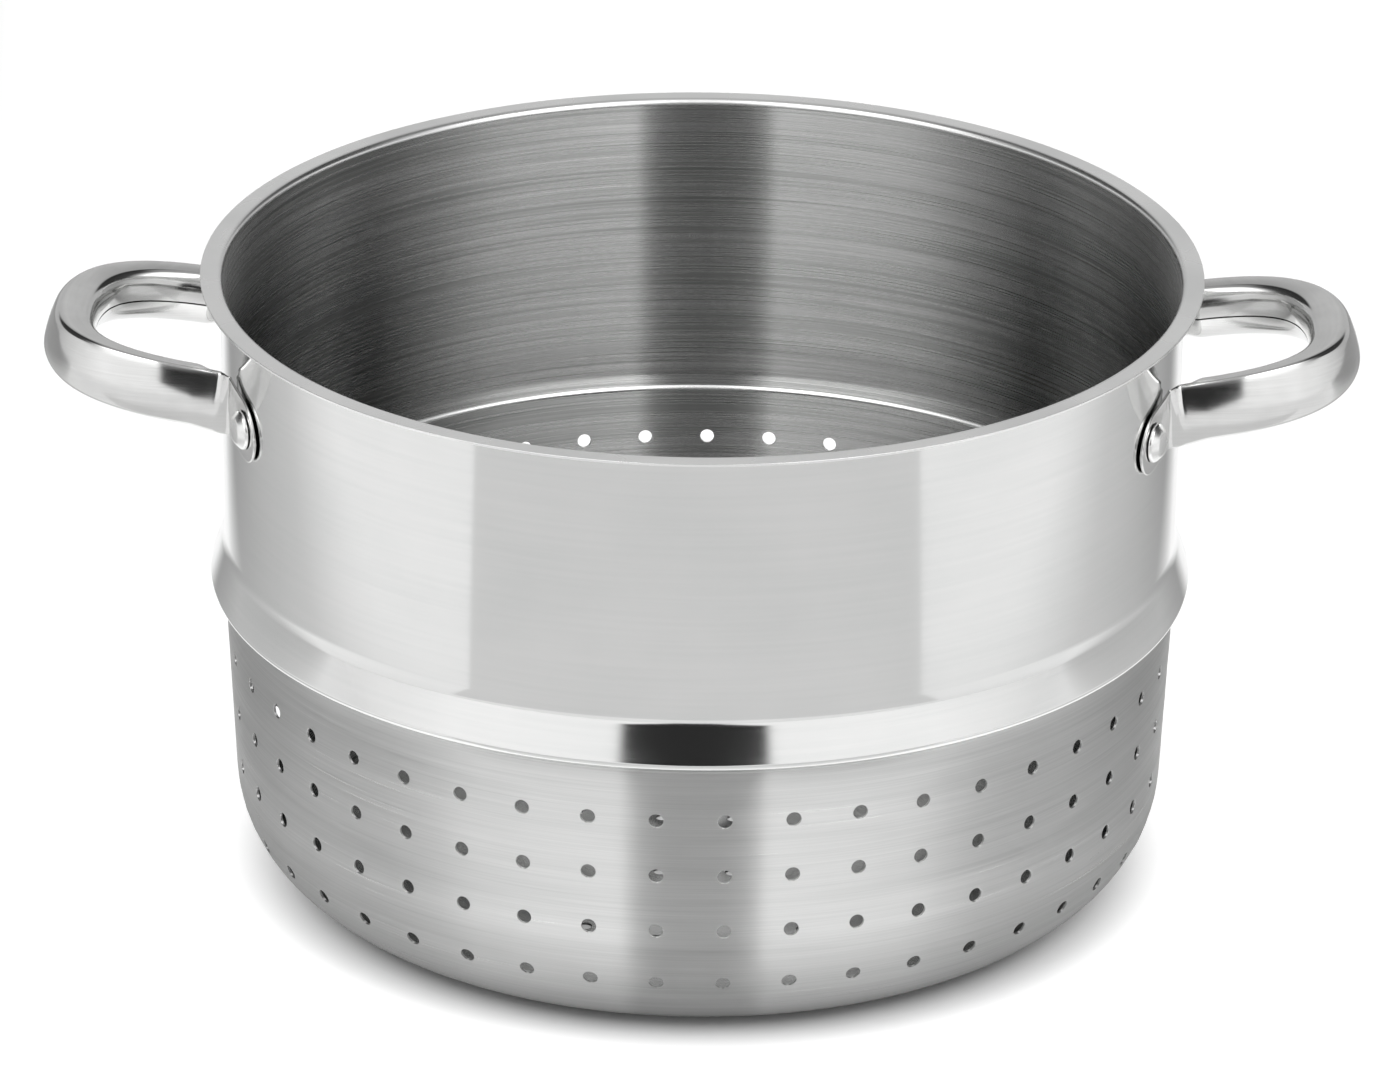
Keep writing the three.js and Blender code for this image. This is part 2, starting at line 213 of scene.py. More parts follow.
# Camera: millimetres, but its distance and range in metres
LENS = 202.54
SENSOR = 36.0
AIM_HEIGHT = 94.4
CAMERA_AWAY = 2.1688
CAMERA_RANGE = 50.0
CAMERA_SWING = math.radians(0.8)
CAMERA_RISE = math.radians(23.67)
CAMERA_ROLL = math.radians(0.5)

# The lower wall: its straight part, and the angle that its corner bends through
CORNER_BEND = math.pi / 2 - WALL_TAPER
WALL_STRAIGHT = BEAD_FOOT / math.cos(WALL_TAPER) - CORNER_ROUND * math.tan(CORNER_BEND / 2)

# Where the strip folds from the ear into the arm
EAR_FACE = WALL + EAR_GAP + STRIP
BOW = SPAN / 2
RIVET_ANGLE = math.asin(BOW / math.hypot(EAR_FACE, RIVET_FROM_ARM)) + math.atan2(RIVET_FROM_ARM, EAR_FACE)
EAR_HEADING = math.pi / 2 - RIVET_ANGLE
RIVET_HEIGHT = FOLD_HEIGHT - RIVET_FROM_ARM * EAR_FALL
OUTWARD = Vector((math.cos(RIVET_ANGLE), -math.sin(RIVET_ANGLE), 0))
ALONG_EAR = Vector((math.cos(EAR_HEADING), math.sin(EAR_HEADING), 0))
EAR_START = RIVET_FROM_ARM - FOLD_ROUND * math.tan(EAR_HEADING / 2)
FOLD_START = OUTWARD * EAR_FACE + ALONG_EAR * EAR_START
FOLD_CENTRE = FOLD_START + OUTWARD * FOLD_ROUND
ARM_START = FOLD_CENTRE + Matrix.Rotation(-EAR_HEADING, 3, "Z") @ (FOLD_START - FOLD_CENTRE)
BOW_LONG = WALL + HANDLE_REACH - ARM_START.x


def at(x, y, z):
    return Vector((x, y, z)) * MM


def choose(piece):
    """Leaves this piece selected and active, and no other."""
    bpy.ops.object.select_all(action="DESELECT")
    piece.select_set(True)
    bpy.context.view_layer.objects.active = piece


def edit(piece):
    choose(piece)
    bpy.ops.object.mode_set(mode="EDIT")


def leave_edit():
    bpy.ops.object.mode_set(mode="OBJECT")


def pick(piece, kind, wanted):
    bpy.ops.mesh.select_mode(type=kind)
    bpy.ops.mesh.select_all(action="DESELECT")
    mesh = bmesh.from_edit_mesh(piece.data)
    parts = {"VERT": mesh.verts, "EDGE": mesh.edges, "FACE": mesh.faces}[kind]
    for part in parts:
        if wanted(part):
            part.select_set(True)
    mesh.select_flush_mode()
    bmesh.update_edit_mesh(piece.data)


def middle(part):
    points = [vert.co for vert in part.verts]
    return sum(points, Vector()) / len(points)


def move(way):
    bpy.ops.transform.translate(value=way)


def scale(amount, about):
    bpy.ops.transform.resize(value=amount, center_override=about)


def spin(steps, angle, copies=False):
    bpy.ops.mesh.spin(steps=steps, angle=-angle, center=(0, 0, 0), axis=(0, 0, 1), dupli=copies)


def extrude(way=(0, 0, 0)):
    bpy.ops.mesh.extrude_region_move(TRANSFORM_OT_translate={"value": way})


def apply_modifier(piece, kind, **settings):
    choose(piece)
    bpy.ops.object.modifier_add(type=kind)
    modifier = piece.modifiers[-1]
    for name, value in settings.items():
        setattr(modifier, name, value)
    bpy.ops.object.modifier_apply(modifier=modifier.name)


def smooth(piece, degrees):
    choose(piece)
    bpy.ops.object.shade_smooth_by_angle(angle=math.radians(degrees))


def take_finishes(piece, finishes):
    piece.data.materials.clear()
    for finish in finishes:
        piece.data.materials.append(finish)


# Points along the outer face of the sheet

def rounded_line(corners, step):
    """A line through (x, y, round) corners, each round drawn in steps of an angle."""
    line = [Vector(corners[0][:2])]
    for before, here, after in zip(corners, corners[1:], corners[2:]):
        corner = Vector(here[:2])
        come = (corner - Vector(before[:2])).normalized()
        go = (Vector(after[:2]) - corner).normalized()
        bend = come.angle_signed(go)
        if here[2] == 0:
            line.append(corner)
            continue
        cut = here[2] * math.tan(abs(bend) / 2)
        start = corner - come * cut
        side = Vector((come.y, -come.x)) * math.copysign(1, bend)
        centre = start + side * here[2]
        steps = max(2, math.ceil(abs(bend) / step))
        for k in range(steps + 1):
            angle = -bend * k / steps
            spoke = start - centre
            line.append(centre + Matrix.Rotation(angle, 2) @ spoke)
    return line


def wall_place(distance):
    """Place on the lower wall and the way on from it, as (radius, height), by distance below the bead."""
    way = Vector((-math.sin(WALL_TAPER), -math.cos(WALL_TAPER)))
    if distance <= WALL_STRAIGHT:
        return Vector((WALL, BEAD_FOOT)) + way * distance, way
    start = Vector((WALL, BEAD_FOOT)) + way * WALL_STRAIGHT
    bend = min((distance - WALL_STRAIGHT) / CORNER_ROUND, CORNER_BEND)
    centre = start + Vector((-math.cos(WALL_TAPER), math.sin(WALL_TAPER))) * CORNER_ROUND
    bent = Matrix.Rotation(-bend, 2)
    return centre + bent @ (start - centre), bent @ way


def sheet_line():
    """The outer face from the edge of the lip to the flat of the bottom, as (radius, height)."""
    foot_corner = WALL - BEAD_FOOT * math.tan(WALL_TAPER)
    corners = [
        (LIP_EDGE, RIM - SHEET, 0),
        (WALL, RIM - SHEET, LIP_BEND),
        (WALL, FLARE_TOP, FLARE_ROUND),
        (BEAD, BEAD_TOP, BEAD_ROUND),
        (WALL, BEAD_FOOT, BEAD_FOOT_ROUND),
        (foot_corner, 0, 0),
    ]
    line = rounded_line(corners, BEND_STEP)
    end = WALL_STRAIGHT + CORNER_ROUND * CORNER_BEND
    stops = [WALL_STRAIGHT]
    for row in WALL_ROWS:
        stops += [row + ROW_STEP * k for k in range(-2, 3)]
    last = WALL_ROWS[-1] + 2 * ROW_STEP
    stops += [last + (end - last) * k / CORNER_STEPS for k in range(1, CORNER_STEPS + 1)]
    return line + [wall_place(stop)[0] for stop in sorted(stops)]


def punch_wall_hole(shell, distance):
    """Opens one round hole at the middle of the first strip of wall."""
    place, way = wall_place(distance)
    column = Matrix.Rotation(math.pi / COLUMNS, 3, "Z")
    centre = column @ at(0, -place.x, place.y)
    across = column @ Vector((1, 0, 0))
    down = column @ Vector((0, -way.x, way.y))
    outward = across.cross(-down)

    def in_block(face):
        offset = middle(face) - centre
        return max(abs(offset.dot(across)), abs(offset.dot(down))) < HOLE_BLOCK * MM

    pick(shell, "FACE", in_block)
    bpy.ops.mesh.delete(type="FACE")
    tilt = Matrix((across, -down, outward)).transposed().to_euler()
    bpy.ops.mesh.primitive_circle_add(
        vertices=HOLE_SIDES, radius=HOLE_SURROUND * MM, location=centre, rotation=tilt
    )

    def round_the_gap(edge):
        return len(edge.link_faces) < 2 and (middle(edge) - centre).length < BLOCK_REACH * MM

    pick(shell, "EDGE", round_the_gap)
    bpy.ops.mesh.bridge_edge_loops()

    def round_the_hole(edge):
        return edge.is_boundary and (middle(edge) - centre).length < SURROUND_REACH * MM

    pick(shell, "EDGE", round_the_hole)
    extrude()
    scale((HOLE / HOLE_SURROUND,) * 3, centre)


def make_shell():
    """The sheet's outer face: one strip with its column of holes, repeated round, and the bottom."""
    bpy.ops.object.select_all(action="DESELECT")
    bpy.ops.mesh.primitive_plane_add(size=MM)
    shell = bpy.context.object
    shell.name = "drawn_shell"
    edit(shell)
    pick(shell, "VERT", lambda vert: vert.index > 0)
    bpy.ops.mesh.delete(type="VERT")
    line = [at(0, -point.x, point.y) for point in sheet_line()]
    bpy.ops.mesh.select_all(action="SELECT")
    mesh = bmesh.from_edit_mesh(shell.data)
    mesh.verts.ensure_lookup_table()
    move(line[0] - mesh.verts[0].co)
    for here, there in zip(line, line[1:]):
        extrude(there - here)
    bpy.ops.mesh.select_all(action="SELECT")
    strip = 2 * math.pi / COLUMNS
    spin(COLUMN_STEPS, strip)
    for distance in WALL_ROWS:
        punch_wall_hole(shell, distance)
    bpy.ops.mesh.select_all(action="SELECT")
    spin(COLUMNS - 1, strip * (COLUMNS - 1), copies=True)
    bpy.ops.mesh.select_all(action="SELECT")
    bpy.ops.mesh.remove_doubles(threshold=NEAR * MM)
    for ring in range(1, BOTTOM_RINGS + 1):
        count = FIRST_RING * ring
        first_hole = at(RING_PITCH * ring, 0, 0)
        bpy.ops.mesh.primitive_circle_add(vertices=HOLE_SIDES, radius=HOLE * MM, location=first_hole)
        spin(count - 1, 2 * math.pi * (count - 1) / count, copies=True)
    pick(shell, "EDGE", lambda edge: len(edge.link_faces) < 2 and middle(edge).z < BOTTOM_LEVEL * MM)
    bpy.ops.mesh.fill(use_beauty=True)
    bpy.ops.mesh.select_all(action="SELECT")
    bpy.ops.mesh.normals_make_consistent(inside=True)
    leave_edit()
    return shell


def thicken_shell(shell, finishes):
    """Gives the face its finishes by height and its thickness; the inner face takes the later finishes."""
    take_finishes(shell, finishes)
    edit(shell)

    def give_slot(slot, low, high):
        pick(shell, "FACE", lambda face: low * MM < middle(face).z < high * MM)
        shell.active_material_index = slot
        bpy.ops.object.material_slot_assign()

    give_slot(1, UNDER_FLOOR, WALL_FINISH_TOP)
    give_slot(2, RIM - SHEET - LIP_BEND, RIM)
    give_slot(3, LEDGE_FINISH_LOW, WALL_FINISH_TOP)
    give_slot(4, UNDER_FLOOR, BOTTOM_FINISH_TOP)
    leave_edit()
    apply_modifier(
        shell,
        "SOLIDIFY",
        thickness=SHEET * MM,
        offset=-1,
        use_even_offset=True,
        material_offset=len(finishes) // 2,
        material_offset_rim=0,
    )
    smooth(shell, SHELL_CREASE)
    apply_modifier(
        shell,
        "BEVEL",
        width=SHEET_EDGE_ROUND * MM,
        segments=SHEET_EDGE_STEPS,
        limit_method="ANGLE",
        angle_limit=SHEET_EDGE_ANGLE,
        use_clamp_overlap=False,
        harden_normals=True,
    )


def ease(value, start, end):
    share = min(max((value - start) / (end - start), 0), 1)
    return share * share * (3 - 2 * share)


def between(first, second, share):
    return first + (second - first) * share


def strip_section(height, depth, crowned, softened):
    """Section of the strip as (depth, level) pairs: crowned face, edges, flat top and domed back."""
    top = height / 2
    edge = min(between(FACE_ROUND, TIP_ROUND, softened), depth * EDGE_SHARE)
    low = (FACE_LEAN - FACE_CROWN) * crowned
    high = (FACE_LEAN + FACE_CROWN) * crowned
    low_end = edge - top + edge * math.sin(low)
    rise = top - edge + edge * math.sin(high) - low_end
    face = []
    for k in range(FACE_STEPS + 1):
        share = k / FACE_STEPS
        slope = math.tan(low) * share + (math.tan(high) - math.tan(low)) * share**2 / 2
        face.append((rise * slope, low_end + rise * share))

    def edge_round(angle, start):
        centre = start + edge * math.cos(angle)
        turns = [between(angle, math.pi / 2, k / EDGE_STEPS) for k in range(1, EDGE_STEPS + 1)]
        return [(centre - edge * math.cos(a), top - edge + edge * math.sin(a)) for a in turns]

    high_edge = edge_round(high, face[-1][0])
    low_edge = edge_round(-low, 0)
    back_depth = min(BACK_DEPTH, (depth - high_edge[-1][0]) * BACK_SHARE)
    back_rise = min(back_depth * BACK_RISE / BACK_DEPTH, top * BACK_SHARE)
    back = []
    for k in range(BACK_STEPS + 1):
        angle = math.pi / 2 * k / BACK_STEPS
        inward = depth - back_depth + back_depth * math.sin(angle)
        back.append((inward, top - back_rise + back_rise * math.cos(angle)))
    below = [(d, -level) for d, level in reversed(back)]
    ring = face + high_edge + back + below + [(d, -level) for d, level in reversed(low_edge)]
    return [rolled(height, crowned, d, level) for d, level in ring]


def rolled(height, crowned, depth, level):
    """Turns a section's point about the section's lower outer edge."""
    roll = LOOP_ROLL * crowned
    rise = level + height / 2
    turned = depth * math.cos(roll) + rise * math.sin(roll)
    return turned, rise * math.cos(roll) - depth * math.sin(roll) - height / 2


def carried(place, heading, lean, section):
    """A section's points in space: depth runs from the outer face inwards, level runs up it."""
    up = Vector((-math.sin(lean), 0, math.cos(lean)))
    travel = Vector((math.cos(heading), math.sin(heading), math.cos(heading) * math.tan(lean)))
    inward = up.cross(travel).normalized()
    return [(place + inward * depth + up * level) * MM for depth, level in section]


def strip_rings():
    """Rings round the strip's front half: round end of the ear, ear, fold, arm and bow up to its tip."""
    flat = strip_section(EAR_HEIGHT, STRIP, 0, 0)
    rings = []

    def ear_ring(along, height):
        place = OUTWARD * EAR_FACE + ALONG_EAR * along + Vector((0, 0, RIVET_HEIGHT + along * EAR_FALL))
        section = strip_section(EAR_HEIGHT * height, STRIP, 0, 0)
        rings.append(carried(place, EAR_HEADING, 0, section))

    for k in range(1, EAR_STEPS + 1):
        angle = math.pi / 2 * k / EAR_STEPS
        ear_ring(-EAR_HEIGHT / 2 * math.cos(angle), math.sin(angle))
    for along in EAR_RINGS:
        ear_ring(along, 1)
    for k in range(FOLD_STEPS + 1):
        share = k / FOLD_STEPS
        turned = Matrix.Rotation(-EAR_HEADING * share, 3, "Z")
        place = FOLD_CENTRE + turned @ (FOLD_START - FOLD_CENTRE) + Vector((0, 0, FOLD_HEIGHT))
        rings.append(carried(place, EAR_HEADING * (1 - share), TILT * share, flat))

    # The bow, in shorter steps near the fold
    for k in range(1, BOW_STEPS + 1):
        at_tip = k == BOW_STEPS
        angle = (k / BOW_STEPS) ** BOW_CROWDING * math.pi / 2
        sine, cosine = math.sin(angle), math.cos(angle)
        run = BOW_LONG * sine**BOW_POWER
        across = BOW * cosine**BOW_POWER + BOW_SWELL * math.sin(2 * angle)
        run_rate = BOW_LONG * BOW_POWER * sine ** (BOW_POWER - 1) * cosine
        across_rate = BOW * BOW_POWER * cosine ** (BOW_POWER - 1) * sine
        across_rate -= 2 * BOW_SWELL * math.cos(2 * angle)
        heading = math.pi / 2 if at_tip else math.atan2(across_rate, run_rate)
        tip = math.sin(heading) ** 2
        opened = ease(run, 0, DEPTH_RUN)
        depth = between(STRIP, between(ARM_DEPTH, TIP_DEPTH, tip), opened)
        height = between(EAR_HEIGHT, between(ARM_HEIGHT, TIP_HEIGHT, tip), opened)
        section = strip_section(height, depth, ease(run, 0, FACE_RUN), tip ** (TIP_POWER / 2))
        level = FOLD_HEIGHT + run * math.tan(TILT) + LOOP_LIFT * opened
        place = Vector((ARM_START.x + run, 0 if at_tip else -across, level))
        rings.append(carried(place, heading, TILT, section))
    return rings


def shape_ring(piece, points):
    """Moves the ring that is selected onto the points, each vertex by its order round the ring."""
    mesh = bmesh.from_edit_mesh(piece.data)
    order = mesh.verts.layers.int["order"]
    for vert in mesh.verts:
        if vert.select:
            vert.co = points[vert[order]]
    bmesh.update_edit_mesh(piece.data)


def make_handle():
    rings = strip_rings()
    bpy.ops.object.select_all(action="DESELECT")
    bpy.ops.mesh.primitive_circle_add(vertices=len(rings[0]), radius=EAR_HEIGHT / 2 * MM)
    handle = bpy.context.object
    handle.name = "loop_handle_right"
    handle.data.attributes.new("order", "INT", "POINT")
    for vertex, order in zip(handle.data.vertices, handle.data.attributes["order"].data):
        order.value = vertex.index

    # Drawn out ring by ring from the end of the front ear to the tip of the loop
    edit(handle)
    pick(handle, "VERT", lambda vert: True)
    shape_ring(handle, rings[0])
    for ring in rings[1:]:
        extrude()
        shape_ring(handle, ring)
    end = sum(rings[0], Vector()) / len(rings[0])
    pick(handle, "EDGE", lambda edge: edge.is_boundary and (middle(edge) - end).length < EAR_END_REACH * MM)
    bpy.ops.mesh.edge_face_add()
    leave_edit()
    handle.data.attributes.remove(handle.data.attributes["order"])

    # The rear half
    apply_modifier(handle, "MIRROR", use_axis=(False, True, False), merge_threshold=NEAR * MM)
    edit(handle)
    bpy.ops.mesh.select_all(action="SELECT")
    bpy.ops.mesh.normals_make_consistent(inside=False)

    # Seam along the back of the rolled strip
    corner = at(ARM_START.x, 0, FOLD_HEIGHT)
    loop_up = Vector((-math.sin(TILT), 0, math.cos(TILT)))
    back_drop = rolled(ARM_HEIGHT, 1, ARM_DEPTH, SEAM_LEVEL)[1]
    seam_level = back_drop + LOOP_LIFT * math.cos(TILT)

    def on_back(face):
        """Faces that look inwards across the loop, from its tip or from an arm."""
        place = middle(face)
        run = place.x / MM - ARM_START.x
        from_tip = (run / BOW_LONG) ** BACK_SQUARE / BOW_LONG
        from_arm = (place.y / MM / BOW) ** BACK_SQUARE / BOW
        inward = Vector((-from_tip, -from_arm, 0)).normalized()
        return run > SEAM_START and face.normal.dot(inward) > BACK_FACING

    def on_seam(face):
        level = (middle(face) - corner).dot(loop_up) / MM
        return on_back(face) and abs(level - seam_level) < SEAM_GAP / 2

    for level in (seam_level - SEAM_GAP / 2, seam_level + SEAM_GAP / 2):
        pick(handle, "FACE", on_back)
        bpy.ops.mesh.bisect(plane_co=corner + loop_up * level * MM, plane_no=loop_up)
    pick(handle, "FACE", on_seam)
    bpy.ops.mesh.extrude_region_shrink_fatten(TRANSFORM_OT_shrink_fatten={"value": -SEAM_DEEP * MM})
    leave_edit()

    # Holes for the rivets
    for side in (-1, 1):
        way = Vector((OUTWARD.x, -side * OUTWARD.y, 0))
        bpy.ops.object.select_all(action="DESELECT")
        bpy.ops.mesh.primitive_cylinder_add(
            vertices=DRILL_SIDES, radius=(SHANK + RIVET_GAP) * MM, depth=DRILL_LONG * MM
        )
        drill = bpy.context.object
        drill.matrix_world = (
            Matrix.Translation(way * (EAR_FACE - STRIP / 2) * MM + at(0, 0, RIVET_HEIGHT))
            @ way.to_track_quat("Z", "Y").to_matrix().to_4x4()
        )
        apply_modifier(handle, "BOOLEAN", operation="DIFFERENCE", object=drill, solver="EXACT")
        bpy.data.objects.remove(drill)
    smooth(handle, HANDLE_CREASE)
    return handle


def turned_copy(piece, name, angle):
    choose(piece)
    bpy.ops.object.duplicate(linked=False)
    copy = bpy.context.object
    copy.name = name
    copy.rotation_euler = (0, 0, angle)
    bpy.ops.object.transform_apply(location=True, rotation=True, scale=True)
    return copy


def make_rivet():
    bpy.ops.object.select_all(action="DESELECT")
    bpy.ops.mesh.primitive_cylinder_add(
        vertices=RIVET_SIDES, radius=SHANK * MM, depth=SHANK_LONG * MM, location=at(0, 0, SHANK_LONG / 2)
    )
    rivet = bpy.context.object
    rivet.name = "button_rivet_right_front"
    bpy.ops.object.transform_apply(location=True, rotation=True, scale=True)
    edit(rivet)
    pick(rivet, "FACE", lambda face: middle(face).z > (SHANK_LONG - NEAR) * MM)
    shoulder = at(0, 0, SHANK_LONG)
    extrude()
    scale((HEAD / SHANK, HEAD / SHANK, 1), shoulder)
    extrude(at(0, 0, HEAD_EDGE))
    extrude(at(0, 0, HEAD_HIGH - HEAD_EDGE))
    scale((HEAD_TOP / HEAD, HEAD_TOP / HEAD, 1), shoulder)

    def head_corner(edge):
        level = abs(edge.verts[0].co.z - edge.verts[1].co.z) < NEAR * MM
        return level and middle(edge).z > (SHANK_LONG + HEAD_CLEAR) * MM

    pick(rivet, "EDGE", head_corner)
    bpy.ops.mesh.bevel(offset=HEAD_ROUND * MM, segments=HEAD_ROUND_STEPS, affect="EDGES")
    leave_edit()
    rivet.matrix_world = (
        Matrix.Translation(OUTWARD * (WALL + EAR_GAP) * MM + at(0, 0, RIVET_HEIGHT))
        @ OUTWARD.to_track_quat("Z", "Y").to_matrix().to_4x4()
    )
    bpy.ops.object.transform_apply(location=True, rotation=True, scale=True)
    smooth(rivet, RIVET_CREASE)
    return rivet


# Finishes

def add(tree, kind, **settings):
    node = tree.nodes.new(kind)
    for name, value in settings.items():
        setattr(node, name, value)
    return node


def wire(tree, source, target):
    tree.links.new(source, target)


def math_node(tree, operation, first, second=None):
    node = add(tree, "ShaderNodeMath", operation=operation)
    for slot, value in enumerate((first, second)):
        if value is None:
            continue
        if isinstance(value, (int, float)):
            node.inputs[slot].default_value = value
        else:
            wire(tree, value, node.inputs[slot])
    return node.outputs[0]


def remap(tree, value, low, high, start, end):
    """Goes from low to high while the value goes from start to end."""
    node = add(tree, "ShaderNodeMapRange")
    wire(tree, value, node.inputs["Value"])
    node.inputs["From Min"].default_value = start
    node.inputs["From Max"].default_value = end
    node.inputs["To Min"].default_value = low
    node.inputs["To Max"].default_value = high
    return node.outputs["Result"]


def blend_values(tree, first, second, share):
    """The first value by its share, and the second by the rest."""
    part = math_node(tree, "MULTIPLY", first, share)
    rest = math_node(tree, "MULTIPLY", second, 1 - share)
    return math_node(tree, "ADD", part, rest)


def place_parts(tree, kind="Object"):
    """X, Y and Z of the place that is shaded."""
    coord = add(tree, "ShaderNodeTexCoord")
    split = add(tree, "ShaderNodeSeparateXYZ")
    wire(tree, coord.outputs[kind], split.inputs[0])
    return split.outputs


def brushed_round_group():
    """Lines left by the brush as the pot turns: long round the axis, thin up the wall and over the lip."""
    group = bpy.data.node_groups.new("brushed_round", "ShaderNodeTree")
    for name in ("Lines per metre", "Turns per metre"):
        group.interface.new_socket(name, in_out="INPUT", socket_type="NodeSocketFloat")
    for name in ("Lines", "Streaks", "Clouds"):
        group.interface.new_socket(name, in_out="OUTPUT", socket_type="NodeSocketFloat")
    inside = add(group, "NodeGroupInput")
    outside = add(group, "NodeGroupOutput")
    x, y, z = place_parts(group)
    square = math_node(group, "ADD", math_node(group, "MULTIPLY", x, x), math_node(group, "MULTIPLY", y, y))
    radius = math_node(group, "SQRT", square)
    across = math_node(group, "ADD", radius, z)
    lines = inside.outputs["Lines per metre"]
    turns = inside.outputs["Turns per metre"]

    def grain(line_share, turn_share):
        combine = add(group, "ShaderNodeCombineXYZ")
        along = math_node(group, "MULTIPLY", turns, turn_share)
        wire(group, math_node(group, "MULTIPLY", x, along), combine.inputs[0])
        wire(group, math_node(group, "MULTIPLY", y, along), combine.inputs[1])
        thin = math_node(group, "MULTIPLY", lines, line_share)
        wire(group, math_node(group, "MULTIPLY", across, thin), combine.inputs[2])
        noise = add(group, "ShaderNodeTexNoise")
        noise.inputs["Scale"].default_value = 1.0
        noise.inputs["Detail"].default_value = GRAIN_DETAIL
        noise.inputs["Roughness"].default_value = GRAIN_ROUGH
        wire(group, combine.outputs[0], noise.inputs["Vector"])
        return noise.outputs["Fac"]

    wire(group, grain(*LINE_GRAIN), outside.inputs["Lines"])
    wire(group, grain(*STREAK_GRAIN), outside.inputs["Streaks"])
    wire(group, grain(*CLOUD_GRAIN), outside.inputs["Clouds"])
    return group


def buffed_group():
    """Faint clouds and hairlines that a buffing wheel leaves on a polished face."""
    group = bpy.data.node_groups.new("buffed", "ShaderNodeTree")
    group.interface.new_socket("Size", in_out="INPUT", socket_type="NodeSocketFloat")
    for name in ("Clouds", "Hairlines"):
        group.interface.new_socket(name, in_out="OUTPUT", socket_type="NodeSocketFloat")
    inside = add(group, "NodeGroupInput")
    outside = add(group, "NodeGroupOutput")
    coord = add(group, "ShaderNodeTexCoord")
    clouds = add(group, "ShaderNodeTexNoise")
    clouds.inputs["Detail"].default_value = BUFF_DETAIL
    wire(group, coord.outputs["Object"], clouds.inputs["Vector"])
    wire(group, inside.outputs["Size"], clouds.inputs["Scale"])
    wire(group, clouds.outputs["Fac"], outside.inputs["Clouds"])
    stretch = add(group, "ShaderNodeMapping")
    stretch.inputs["Rotation"].default_value = HAIR_TURN
    stretch.inputs["Scale"].default_value = HAIR_STRETCH
    wire(group, coord.outputs["Object"], stretch.inputs["Vector"])
    hairs = add(group, "ShaderNodeTexNoise")
    hairs.inputs["Detail"].default_value = HAIR_DETAIL
    wire(group, stretch.outputs["Vector"], hairs.inputs["Vector"])
    wire(group, inside.outputs["Size"], hairs.inputs["Scale"])
    wire(group, hairs.outputs["Fac"], outside.inputs["Hairlines"])
    return group


def new_finish(name):
    finish = bpy.data.materials.new(name)
    finish.use_nodes = True
    return finish, finish.node_tree


def colour_by(tree, mask, dark, light):
    mix = add(tree, "ShaderNodeMix", data_type="RGBA")
    wire(tree, mask, mix.inputs["Factor"])
    mix.inputs["A"].default_value = (*dark, 1)
    mix.inputs["B"].default_value = (*light, 1)
    return mix.outputs["Result"]


def brushed_finish(name, group, dark, light, rough, grain, lines, turns, groove, foot_shade=1.0):
    """Metal whose gloss is drawn out up and down by lines round the axis; the last argument sets painted
    shade that darkens its colour towards the floor.
    """
    finish, tree = new_finish(name)
    tree.nodes.remove(tree.nodes["Principled BSDF"])
    shader = add(tree, "ShaderNodeBsdfAnisotropic", distribution="MULTI_GGX")
    shader.inputs["Anisotropy"].default_value = BRUSH_DRAWN
    wire(tree, shader.outputs[0], tree.nodes["Material Output"].inputs["Surface"])
    brushed = add(tree, "ShaderNodeGroup", node_tree=group)
    brushed.inputs["Lines per metre"].default_value = lines
    brushed.inputs["Turns per metre"].default_value = turns
    both = blend_values(tree, brushed.outputs["Lines"], brushed.outputs["Streaks"], LINE_SHARE)
    mask = blend_values(tree, both, brushed.outputs["Clouds"], GRAIN_SHARE)
    colour = colour_by(tree, remap(tree, mask, 0.0, 1.0, *GRAIN_RANGE), dark, light)
    if foot_shade < 1:
        # Painted shade: the colour darkens towards the floor, standing in for the dark floor that the
        # wall's bottom corner reflects
        height = place_parts(tree)["Z"]
        painted_shade = add(tree, "ShaderNodeMix", data_type="RGBA", blend_type="MULTIPLY")
        painted_shade.inputs["Factor"].default_value = 1.0
        wire(tree, colour, painted_shade.inputs["A"])
        wire(tree, remap(tree, height, foot_shade, 1.0, PAINTED_SHADE_LOW * MM, PAINTED_SHADE_HIGH * MM), painted_shade.inputs["B"])
        colour = painted_shade.outputs["Result"]
    wire(tree, colour, shader.inputs["Color"])
    roughness = remap(tree, mask, rough + grain, rough - grain, *GRAIN_RANGE)
    wire(tree, roughness, shader.inputs["Roughness"])
    bump = add(tree, "ShaderNodeBump")
    bump.inputs["Strength"].default_value = 1.0
    bump.inputs["Distance"].default_value = groove * MM
    wire(tree, both, bump.inputs["Height"])
    wire(tree, bump.outputs["Normal"], shader.inputs["Normal"])
    return finish


def polished_finish(name, group, dark, light, rough_low, rough_high, size):
    finish, tree = new_finish(name)
    shader = tree.nodes["Principled BSDF"]
    shader.inputs["Metallic"].default_value = 1.0
    buffed = add(tree, "ShaderNodeGroup", node_tree=group)
    buffed.inputs["Size"].default_value = size
    mask = blend_values(tree, buffed.outputs["Clouds"], buffed.outputs["Hairlines"], CLOUD_SHARE)
    colour = colour_by(tree, remap(tree, mask, 0.0, 1.0, *BUFF_RANGE), dark, light)
    wire(tree, colour, shader.inputs["Base Color"])
    wire(tree, remap(tree, mask, rough_high, rough_low, *BUFF_RANGE), shader.inputs["Roughness"])
    return finish


# Studio

def seen_share(tree):
    """One for rays from the camera, a mirror or glass, nought for the light that falls on the object."""
    path = add(tree, "ShaderNodeLightPath")
    seen = math_node(tree, "MAXIMUM", path.outputs["Is Camera Ray"], path.outputs["Is Glossy Ray"])
    return math_node(tree, "MAXIMUM", seen, path.outputs["Is Transmission Ray"])


